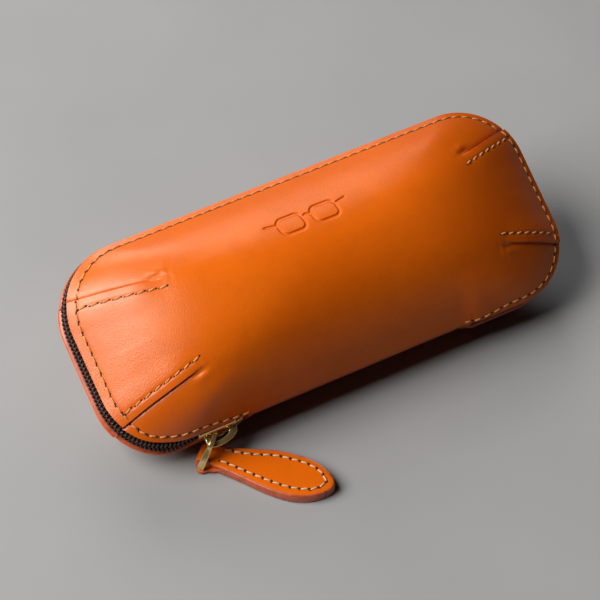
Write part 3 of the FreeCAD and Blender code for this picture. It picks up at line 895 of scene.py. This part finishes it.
# ------------------------------------------------------------------ stitches
def stitch(parts, centre, along, normal, length, slant=0.14, radius=0.28, lift=0.2, sink=0.34):
    """One stitch of a seam, slightly slanted, that dives into a needle hole at each end."""
    across = np.cross(normal, along)
    direction = along * math.cos(slant) + across * math.sin(slant)
    places = np.array([-0.5, -0.42, -0.28, 0.0, 0.28, 0.42, 0.5])
    heights = np.array([-sink, -0.03, 0.8 * lift, lift, 0.8 * lift, -0.03, -sink])
    widths = radius * np.array([0.62, 0.82, 1.0, 1.04, 1.0, 0.82, 0.62])
    path = centre + direction * (places * length)[:, None] + normal * heights[:, None]
    parts.add(*tube(path, widths, widths * 0.85, normal, sides=8))
    # at each end a dark plug paints the shade inside the needle hole
    for end in (-0.5, 0.5):
        hole = centre + direction * (end * (length + 0.3))
        parts.add(*disc(hole + normal * 0.03, normal, direction, 0.56, 0.4), pick=1)


def disc(centre, normal, along, half_long, half_wide):
    """A small lens-shaped plug that carries the painted shade of a needle hole's mouth."""
    depth, sides = 0.14, 10
    across = np.cross(normal, along)
    points = [centre + normal * depth * 0.35, centre - normal * depth]
    for k in range(sides):
        angle = 2 * math.pi * k / sides
        points.append(centre + along * half_long * math.cos(angle)
                      + across * half_wide * math.sin(angle))
    faces = []
    for k in range(sides):
        m = 2 + (k + 1) % sides
        faces.append((0, 2 + k, m))
        faces.append((1, m, 2 + k))
    return points, faces


def seam_along(parts, path, pitch, slant):
    """Stitches along a path of the seam plane, laid on the upper leather."""
    path = respaced(path, 2 * round(path_length(path) / pitch) + 1)
    points, normals = surface(*path[1::2].T)
    ends = surface(*path[::2].T)[0]
    for point, normal, start, end in zip(points, normals, ends[:-1], ends[1:]):
        stitch(parts, point, unit(end - start), normal, STITCH_LENGTH, slant)


def chain_path(step, start_x=SPINE_HALF, stop_x=-SPINE_HALF):
    """The rim outline without the spine's stretch: from the front right round to the left."""
    path = outline(step=step)
    front = path[:, 1] < -HALF_WIDTH + 0.01
    start = np.where(front & (path[:, 0] > start_x))[0][0]
    path = np.roll(path, -start, 0)
    front = np.roll(front, -start)
    stop = np.where(front & (path[:, 0] > stop_x) & (path[:, 0] < start_x))[0][0]
    return path[:stop]


def rim_seam_path():
    """The sewn part of the rim seam, from the front right round the back to the front left."""
    path = chain_path(0.5, SPINE_HALF - 3, -SPINE_HALF + 1)
    return path - rim_normals(path) * stitch_inset(*path.T)[:, None]


def stitching():
    """The seam round each rim, and one along each dart."""
    for half, side, body in (("upper", 1, "lid"), ("lower", -1, "base")):
        place = mirrored_to_row(side)
        rim = Parts()
        seam_along(rim, rim_seam_path(), STITCH_PITCH, 0.12)
        done(rim.build(f"rim_stitches_{half}", [THREAD, HOLE_SHADE], place), body, "thread_cream",
             f"rim_thread_{half}")
        darts = Parts()
        for sx, sy in DARTS:
            inner = np.array((DART_INNER[0] * sx, dart_side(sx, sy) * sy))
            run = np.subtract(DART_OUTER, DART_INNER) * (sx, sy)
            start = (DART_SHIFT if sx > 0 else 0) / np.linalg.norm(run) - 0.07
            seam_along(darts, inner + np.outer((start, 0.99), run), DART_PITCH, 0.2)
        done(darts.build(f"dart_stitches_{half}", [THREAD, HOLE_SHADE], place), body, "thread_cream",
             f"dart_thread_{half}")


stitching()


# ------------------------------------------------------------------ zipper
def sweep(section, path):
    """A band along the rim from a closed section of (inset, z) points."""
    normal = rim_normals(path)
    rings = [np.column_stack((path - normal * inset, np.full(len(path), z)))
             for inset, z in section]
    return bar(np.stack(rings, 1))


def zipper_half(half, side, body):
    """Tape and coil of one half. The other coil's turns stand between this one's."""
    place = mirrored_to_row(side)
    tape = Parts()
    section = [(7.2, 4.32), (4.0, 4.3), (2.3, 4.22), (1.95, 3.9), (1.9, 3.2), (2.3, 3.05),
               (2.45, 2.0), (2.5, 0.5), (3.0, 0.5), (3.02, 2.2), (2.95, 3.3), (3.3, 3.72),
               (4.4, 3.8), (7.2, 3.84)]
    section = section if side > 0 else section[::-1]
    tape.add(*sweep(section, chain_path(0.9)))
    done(tape.build(f"tape_{half}", [TAPE], place), body, "zip_tape", f"zipper_tape_{half}")

    coil = Parts()
    past_spine = SPINE_HALF + 3.6
    path = chain_path(COIL_PITCH / 2, past_spine, -past_spine)
    normals = rim_normals(path)
    # one turn, as (inset, height, share of its lean along the chain)
    turn = [(1.8, 0.1, -0.5), (1.25, 0.16, -0.25), (0.98, 0.55, 0.0), (0.95, 1.2, 0.3),
            (1.02, 1.9, 0.7), (1.3, 2.5, 1.1), (1.8, 2.75, 1.4)]
    for index in range(1 if side > 0 else 2, len(path) - 1, 2):
        centre = path[index]
        in_front = centre[1] < 0
        if in_front and abs(centre[0] - SLIDER_X) < SLIDER_REACH:
            # hidden in the slider
            continue
        # along the front, as far as the middle of the right end, the turns stand further in
        out = 0.75 * (smoothstep(59.0, 66.0, -centre[0]) if in_front else 1.0)
        n = np.array((*normals[index], 0.0))
        along = np.array((-n[1], n[0], 0.0))
        base = np.array((*centre, 0.0))
        line = [base - n * (inset - out) + along * share * COIL_LEAN + np.array((0, 0, z))
                for inset, z, share in turn]
        coil.add(*tube(line, [0.28, 0.36, 0.38, 0.31, 0.3, 0.3, 0.28], 0.33, n, sides=7))
        spot = base - n * (0.86 - out) + along * 0.3 + np.array((0, 0, 1.75))
        sewn_line = [spot + along * step for step in (-0.34, -0.2, 0.2, 0.34)]
        coil.add(*tube(sewn_line, [0.1, 0.2, 0.2, 0.1], [0.06, 0.2, 0.2, 0.06], n, sides=6),
                 pick=1)
    # the cord that the turns are sewn round
    cord = [np.array((*(p - m * 1.85), 1.4)) for p, m in zip(path[::2], normals[::2])]
    coil.add(*tube(cord, 0.42, 1.05, (0, 0, 1), sides=8))
    done(coil.build(f"coil_{half}", [COIL, SEWING], place), body, "zip_coil",
         f"zipper_coil_{half}")


zipper_half("upper", 1, "lid")
zipper_half("lower", -1, "base")


# ------------------------------------------------------------------ stops
def stops():
    """Folded metal clips that end the coils beside the spine."""
    left, right = -SPINE_HALF - 1.7, SPINE_HALF + 1.7
    clips = [("stop_upper", "top_stop_upper", "lid", left, 0.65, 3.05),
             ("stop_lower", "top_stop_lower", "base", left, -3.05, -0.65),
             ("stop_tail", "bottom_stop", "base", right, -3.05, 0.55)]
    # one leg of a clip, as (y, height from its end)
    bend = [(-31.1, 0.1), (-32.3, 0.05), (-32.75, 0.5)]
    for name, node, body, x, low, high in clips:
        clip = Parts()
        for shift in (-0.62, 0.62):
            path = [(x + shift, y, low + z) for y, z in bend]
            path.append((x + shift, -32.85, (low + high) / 2))
            path += [(x + shift, y, high - z) for y, z in bend[::-1]]
            clip.add(*ribbon(curve_through(path, 22), (1, 0, 0), 0.28, 0.52, 0.4))
        clip.add(*ribbon([(x, -32.7, low + 0.6), (x, -32.7, high - 0.6)], (0, -1, 0), 0.75, 0.2))
        # the tail stop sits further in, under the lips
        inwards = (0, 0.7 if x > 0 else 0, 0)
        done(clip.build(name, [BRASS], lambda points: to_row(points + inwards)), body, "brass",
             node)


stops()


# ------------------------------------------------------------------ slider
def slider_section(half, lip):
    """Closed C-shaped section of the slider's face plate, as (y, z) points: a plate in front
    with both edges turned in round the coils."""
    front, back, inside = -33.6, -32.5, half - 0.95
    upper = [(front + 0.35, half * 0.5), (front + 0.5, half - 0.9), (front + 0.85, half - 0.25),
             (back + 0.1, half), (lip - 0.3, half), (lip, half - 0.2), (lip, inside + 0.2),
             (lip - 0.25, inside), (back + 0.35, inside), (back, inside - 0.35)]
    lower = [(y, -z) for y, z in upper[::-1]]
    return [(front + 0.35, 0.0), *upper, (back, 0.0), *lower]


def slider():
    """The slider's plates, the bridge that the link hangs in, and the lock leaf inside it."""
    body = Parts()
    stations = [(-6.5, 2.9, -31.7), (-6.3, 3.3, -31.4), (-5.6, 3.55, -31.1), (-2.0, 3.75, -31.0),
                (1.0, 3.95, -31.0), (3.2, 4.1, -31.0), (5.2, 4.05, -31.1), (6.1, 3.7, -31.4),
                (6.5, 3.1, -31.7)]
    body.add(*bar([[(SLIDER_X + x, y, z) for y, z in slider_section(half, lip)]
                   for x, half, lip in stations]))
    # inner plate behind the chain, and the diamond post that parts the two rows
    body.add(*ribbon([(SLIDER_X + x, -29.6, 0) for x in (-5.9, -5.2, 5.2, 5.9)], (0, 1, 0),
                     [2.2, 3.0, 3.15, 2.4], [0.3, 0.46, 0.46, 0.3], 0.3))
    body.add(*ribbon([(SLIDER_X + 3.9, y, 0) for y in (-34.3, -32, -29.7)], (1, 0, 0),
                     [0.5, 0.42, 0.5], [1.1, 1.0, 1.1], 0.4))
    piece = body.build("slider_plates", [BRASS], straight_to_row)
    soften(piece, 0.12)
    done(piece, "slider", "brass", "slider_body")

    # the bridge is a flat loop; each corner of its outside has one of its window beside it
    outer = [(-43.9, -32.7), (-43.95, -34.0), (-44.6, -35.4), (-46.4, -36.7), (-49.6, -37.5),
             (-52.3, -37.6), (-54.2, -37.05), (-55.0, -36.0), (-55.0, -34.2), (-54.6, -32.7),
             (-50.0, -32.7), (-46.6, -32.7)]
    inner = [(-46.7, -33.5), (-46.75, -34.0), (-47.2, -34.7), (-48.4, -35.3), (-50.2, -35.75),
             (-51.8, -35.8), (-52.9, -35.6), (-53.4, -35.1), (-53.4, -34.2), (-53.0, -33.5),
             (-50.2, -33.3), (-47.6, -33.3)]
    rings = []
    for corners, z in ((inner, 1.05), (outer, 1.05), (outer, -1.05), (inner, -1.05)):
        curve = curve_through(corners, 72, closed=True, even=False)
        rings.append(np.column_stack((curve, np.full(len(curve), z))))
    crown = Parts()
    crown.add(*bar(rings, closed=True))
    piece = crown.build("slider_bridge", [BRASS], straight_to_row)
    soften(piece, 0.3)
    done(piece, "slider", "brass", "slider_crown")

    spring = Parts()
    leaf = [(-47.3, -33.3, 0.3), (-48.6, -34.3, 0.5), (-50.2, -34.6, 0.5), (-51.4, -33.9, 0.3)]
    spring.add(*ribbon(curve_through(leaf, 14), (0, -1, 0), 0.6, 0.2, 0.3))
    done(spring.build("lock_leaf", [BRASS], straight_to_row), "slider", "brass",
         "slider_lock_spring")


def soften(piece, width):
    """Rounds a metal piece's edges with a small applied bevel."""
    bevel = piece.modifiers.new("bevel", "BEVEL")
    bevel.width = width * MM
    bevel.segments = 2
    bevel.limit_method = "ANGLE"
    bevel.angle_limit = math.radians(40)
    depsgraph = bpy.context.evaluated_depsgraph_get()
    mesh = bpy.data.meshes.new_from_object(piece.evaluated_get(depsgraph))
    piece.modifiers.clear()
    piece.data = mesh
    for polygon in mesh.polygons:
        polygon.use_smooth = True
    mark_sharp(piece, 50)


slider()


# ------------------------------------------------------------------ link and pull
def link():
    """Flat cast ring: wide at the pull, narrow where it hooks into the bridge."""
    right = [(3.2, 0.0), (4.9, 0.35), (5.0, 1.6), (4.3, 4.4), (3.3, 7.2), (2.6, 8.9), (1.3, 9.5)]
    left = [(-x, y) for x, y in right[::-1]]
    flat = curve_through([(0.0, 0.0), *right, (0.0, 9.55), *left], 96, closed=True)
    s, c = math.sin(LINK_TILT), math.cos(LINK_TILT)
    lean = 1.2 * smoothstep(2, 9, flat[:, 1])
    line = np.column_stack((flat[:, 1] * s, flat[:, 0] + lean, flat[:, 1] * c))
    middle = np.array((4.5 * s, 0, 4.5 * c))
    in_eye = smoothstep(4.4, 3.4, np.abs(flat[:, 0])) * smoothstep(2.0, 0.8, flat[:, 1])
    wide = np.interp(flat[:, 1], [0, 1.6, 5.0, 8.0, 9.8], [1.1, 1.15, 1.0, 0.8, 0.72])
    wide -= 0.5 * in_eye
    ring = Parts()
    ring.add(*ribbon(line, middle - line, wide, 0.45, 0.4, closed=True))
    done(ring.build("ring_link", [BRASS], pull_to_row), "link", "brass", "pull_link")


LEAF = curve_through([(-3, 3.4), (0, 3.5), (4, 3.6), (9, 4.3), (15, 5.55), (20, 6.75), (24, 7.45),
                      (28, 7.8), (31, 7.7), (34, 7.0), (36.5, 6.0), (38.6, 4.7), (40.2, 3.3),
                      (41.3, 1.9), (42.0, 0.35)], 400)


def leaf_half(x):
    """Half width of the pull along its length."""
    return np.interp(x, LEAF[:, 0], LEAF[:, 1])


def leaf_side(x):
    """How much more the pull reaches to its far side, beyond that half width."""
    return 0.8 * smoothstep(2, 7, x) * smoothstep(30, 20, x)


def leaf_drop(x):
    """How far the pull sinks on its way to the tip, up to an eighth of a millimetre."""
    return np.minimum(0.0009 * np.maximum(x - 4, 0) ** 2, 0.25) * 0.5


def pull():
    """One strip of leather folded round the link and sewn to itself, cut to a leaf."""
    along = np.concatenate((np.linspace(PULL_LENGTH, 30, 34), np.linspace(29.5, PULL_NECK, 38)))
    top = [(x, 0.95 + 0.02 * math.sin(x / 4)) for x in along]
    # the loop round the link stands open, with its lower layer on the ground
    turn = np.linspace(math.radians(75), math.radians(285), 21)
    around = [(0.5 + 1.85 * math.cos(a), 0.62 + 1.85 * math.sin(a)) for a in turn]
    above = [(4.8, 1.04), (3.8, 1.35), (2.5, 1.95)]
    below = [(2.4, -1.18), (3.6, -1.08), (4.7, -1.0)]
    rest = [(x, -z) for x, z in top[::-1]]
    path = np.array([(x, 0.0, z) for x, z in top[:-1] + above + around + below + rest[1:]])
    half = leaf_half(path[:, 0]) + leaf_side(path[:, 0]) / 2
    half += 0.8 * smoothstep(5, 3, path[:, 0]) * smoothstep(1.2, -1, path[:, 2])
    # the lowest layer shows as a lobe under the link's foot
    half += 1.2 * smoothstep(2.4, 0.8, path[:, 0]) * smoothstep(-0.4, -1.1, path[:, 2])
    path[:, 1] = leaf_side(path[:, 0]) / 2
    thick = np.interp(path[:, 0], [-3, 1.5, 5.0, 6.0], [0.78, 0.76, 0.9, 0.9])
    path[:, 2] -= leaf_drop(path[:, 0])
    run = np.gradient(path, axis=0)
    normals = np.column_stack((-run[:, 2], np.zeros(len(run)), run[:, 0])) * (-1, 1, -1)
    strip = Parts()
    strip.add(*ribbon(path, unit(normals), half, thick, 0.32))
    # the two layers' sides are painted together into one rounded edge
    x = np.concatenate((np.linspace(PULL_NECK, 36, 50), np.linspace(36.3, 41.9, 26)))
    far = np.column_stack((x, leaf_half(x) + leaf_side(x) - 0.22))
    near = np.column_stack((x, 0.22 - leaf_half(x)))
    rim = respaced(np.vstack((far, near[::-1])), 190)
    outward = np.column_stack((np.gradient(rim[:, 1]), np.gradient(rim[:, 0]), np.zeros(len(rim))))
    place = np.arange(len(rim))
    tall = 1.72 * smoothstep(-2, 8, np.minimum(place, place[::-1]))
    band = np.column_stack((rim, -leaf_drop(rim[:, 0])))
    strip.add(*ribbon(band, outward, tall, 0.36, 0.5), pick=1)
    obj = strip.build("pull_leather", [PULL_TAN, EDGE], pull_to_row)
    paint_sides(obj)
    done(obj, "pull", "leather_tan", "pull_tab")


def paint_sides(obj):
    """Gives the painted edge to the faces of a strip that look sideways."""
    mesh = obj.data
    across = Vector((-math.sin(PULL_TURN), math.cos(PULL_TURN), 0))
    forward = Vector((math.cos(PULL_TURN), math.sin(PULL_TURN), 0))
    for polygon in mesh.polygons:
        inner = Vector(polygon.center) / MM - Vector(PULL_ORIGIN)
        beyond_neck = inner.dot(forward) > 3.0 and abs(polygon.normal.z) < 0.8
        if beyond_neck or abs(polygon.normal.dot(across)) > 0.55:
            polygon.material_index = 1


def pull_stitching():
    """A seam inside the leaf's outline, from one side of the neck round to the other."""
    x = np.concatenate((np.linspace(5.2, 36, 60), np.linspace(36.3, 39.4, 20)))
    tip = np.interp(x, [36, 37.6, 38.8, 39.4], [leaf_half(36) - 2.3, 2.6, 1.2, 0.0])
    far = leaf_half(x) + leaf_side(x) - 1.5 - 0.8 * smoothstep(5, 14, x)
    near = leaf_half(x) - 2.3 - 0.5 * smoothstep(12, 24, x)
    far, near = (np.where(x > 36, tip, side) for side in (far, near))
    near = near + (tip[x > 36][0] - near[x <= 36][-1]) * smoothstep(30, 36, x) * (x <= 36)
    path = np.vstack((np.column_stack((x, far)), np.column_stack((x, -near))[::-1]))
    path = respaced(path, 2 * round(path_length(path) / PULL_PITCH) + 1)
    thread = Parts()
    for index in range(1, len(path), 2):
        start, centre, end = path[index - 1], path[index], path[index + 1]
        direction = unit(np.array((*(end - start), 0.0)))
        spot = np.array((*centre, 1.86 - leaf_drop(centre[0])))
        stitch(thread, spot, direction, np.array((0.0, 0.0, 1.0)), 2.3, radius=0.27, lift=0.18,
               sink=0.3)
    done(thread.build("pull_stitches", [PALE_THREAD, HOLE_SHADE], pull_to_row), "pull", "thread_cream",
         "pull_thread")


link()
pull()
pull_stitching()


# ------------------------------------------------------------------ inside and spine
def lining(half, side, body):
    """Suede skin inside a leather half, slightly uneven where it is glued."""
    scales = np.concatenate(([0.03], np.linspace(0.1, 0.9, 40), np.linspace(0.91, 1.0, 12)))
    base = outline(step=1.6)
    rings = []
    for inset, order, uneven in ((LEATHER + 0.5, scales, 0.0),
                                 (LEATHER + LINING, scales[::-1], 0.12)):
        for scale in order:
            xy = base * ((HALF_LENGTH - inset) * scale / HALF_LENGTH,
                         (HALF_WIDTH - inset) * level_width(scale) / HALF_WIDTH)
            z = inside_height(xy, inset)
            z -= uneven * (1 + np.sin(xy[:, 0] / 5.0) * np.sin(xy[:, 1] / 4.0 + 1))
            rings.append(np.column_stack((xy, z)))
    points, faces = bowl(rings)
    points[:, 2] *= side
    piece = make(f"suede_{half}", to_row(points), turned(faces) if side > 0 else faces, [SUEDE])
    done(piece, body, "lining_suede", f"{half}_lining")


def divider():
    """Padded suede flap between the compartments, bound round its edge."""
    inset, binding = 8.5, 9.0
    middle = (0.02, 0.3, 0.6, 0.8)
    # the bound edge, as (distance from the outer end, height)
    edge = [(9.0, 0.35), (5.0, 0.55), (3.2, 0.42), (2.4, 0.62), (1.2, 0.78), (0.3, 0.6),
            (0.0, 0.0)]
    base = outline(inset=inset, step=1.2)
    inner = base * middle[-1]
    upper = [(base * scale, 0.6 + 0.1 * math.cos(scale * 3)) for scale in middle]
    upper += [(inner + (base - inner) * (1 - d / binding * 0.9), z) for d, z in edge]
    lower = [(xy, -z) for xy, z in upper[-2::-1]]
    points, faces = bowl([np.column_stack((xy, np.full(len(xy), z))) for xy, z in upper + lower])
    flap = Parts()
    flap.add(points, turned(faces))
    # the tongue by which the flap is sewn into the spine
    tongue = [(0, y, 0) for y in (-23.5, -26.0, -28.5, -30.6)]
    flap.add(*ribbon(tongue, (0, 0, 1), [37.9, 38.0, 38.0, 37.8], [0.55, 0.5, 0.5, 0.6], 0.02))
    flap = flap.build("divider_suede", [SUEDE], to_row)
    done(flap, "divider", "lining_suede", "divider_flap")


def spine():
    """Leather strip that wraps the front, lying over both rims where there is no zipper."""
    x = np.linspace(-SPINE_HALF + 0.1, SPINE_HALF - 0.1, 60)

    def strip_row(y, z):
        return np.column_stack((x, np.full_like(x, y), np.full_like(x, z)))
    rows = []
    # how far in from the outline the strip lies on the leather, and how high over it
    for inset, lift in ((4.2, -0.12), (3.2, 0.02), (2.2, 0.1), (1.3, 0.14), (0.6, 0.16),
                        (0.15, 0.18)):
        points, normals = surface(x, np.full_like(x, -HALF_WIDTH + inset))
        rows.append(points + normals * lift)
    for z in (4.1, 3.0, 1.5, 0.0):
        rows.append(strip_row(-HALF_WIDTH - 0.22 - 0.1 * (1 - (z / SEAM_HALF) ** 2), z))
    rows += [row * (1, 1, -1) for row in rows[-2::-1]]
    rows += [strip_row(-HALF_WIDTH + LEATHER - 0.05, z) for z in (-4.3, -3.0, 0.0, 3.0, 4.3)]
    points, faces = bar(np.stack(rows, 1))
    piece = make("leather_spine", rest_flat(to_row(points)), faces, [TAN])
    mark_sharp(piece, 60)
    fold_start, fold_end = to_row([(0, -HALF_WIDTH, 3.9), (0, -HALF_WIDTH, 5.0)])
    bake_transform(piece)
    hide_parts("spine_panel")
    back = Parts()
    middle = [(-39.8, -31.3, 0), (-20, -31.35, 0), (0, -31.3, 0), (20, -31.35, 0),
              (39.8, -31.3, 0)]
    back.add(*ribbon(middle, (0, -1, 0), 4.3, 0.32, 0.3))
    done(back.build("suede_spine", [SUEDE], to_row), "base", "lining_suede", "spine_lining")


lining("upper", 1, "lid")
lining("lower", -1, "base")
divider()
spine()


# ------------------------------------------------------------------ stage
def stage():
    """A pale floor, a faint blue world, a large window on the left and a weaker one behind."""
    size = 4.0
    floor = make("floor", [(-size, -size, 0), (size, -size, 0), (size, size, 0), (-size, size, 0)],
                 [(0, 1, 2, 3)], [floor_material()], smooth=False)
    world = bpy.data.worlds.new("studio")
    world.use_nodes = True
    background = world.node_tree.nodes["Background"]
    background.inputs["Color"].default_value = (0.8, 0.86, 1.0, 1)
    background.inputs["Strength"].default_value = 0.012
    bpy.context.scene.world = world
    # name, place, size, power and colour; each looks at the origin
    lights = [("window", (-0.9, 0.22, 1.0), 1.0, 31.0, (1.0, 0.98, 0.97)),
              ("sky", (0.2, 1.2, 0.85), 0.75, 9.5, (0.96, 0.98, 1.0))]
    for name, place, size, power, colour in lights:
        data = bpy.data.lights.new(name, "AREA")
        data.shape = "SQUARE"
        data.size = size
        data.energy = power
        data.color = colour
        lamp = bpy.data.objects.new(name, data)
        lamp.location = place
        lamp.rotation_euler = Vector(place).to_track_quat("Z", "Y").to_euler()
        bpy.context.scene.collection.objects.link(lamp)


def floor_material():
    """Plain pale paper."""
    n = Nodes("floor_paper")
    tone = n.noise(9, 3)
    n.set(Base_Color=n.ramp(tone, [(0.3, (0.28, 0.28, 0.276, 1)), (0.7, (0.31, 0.31, 0.306, 1))]),
          Roughness=0.9)
    return n.material


def camera():
    """A long lens, from above the front left of the case."""
    place = Vector((-302.2, -548.4, 743.7)) * MM
    forward = Vector((0.310, 0.575, -0.757)).normalized()
    right = Vector((0.880, -0.474, 0.0)).normalized()
    up = right.cross(forward).normalized()
    right = forward.cross(up).normalized()
    turn = Matrix((right, up, -forward)).transposed()
    data = bpy.data.cameras.new("view")
    data.sensor_width = 36.0
    data.lens = 180.0
    data.clip_end = 20.0
    lens = bpy.data.objects.new("view", data)
    lens.matrix_world = Matrix.Translation(place) @ turn.to_4x4()
    bpy.context.scene.collection.objects.link(lens)
    bpy.context.scene.camera = lens
    bpy.context.scene.view_settings.view_transform = "Standard"


stage()
camera()
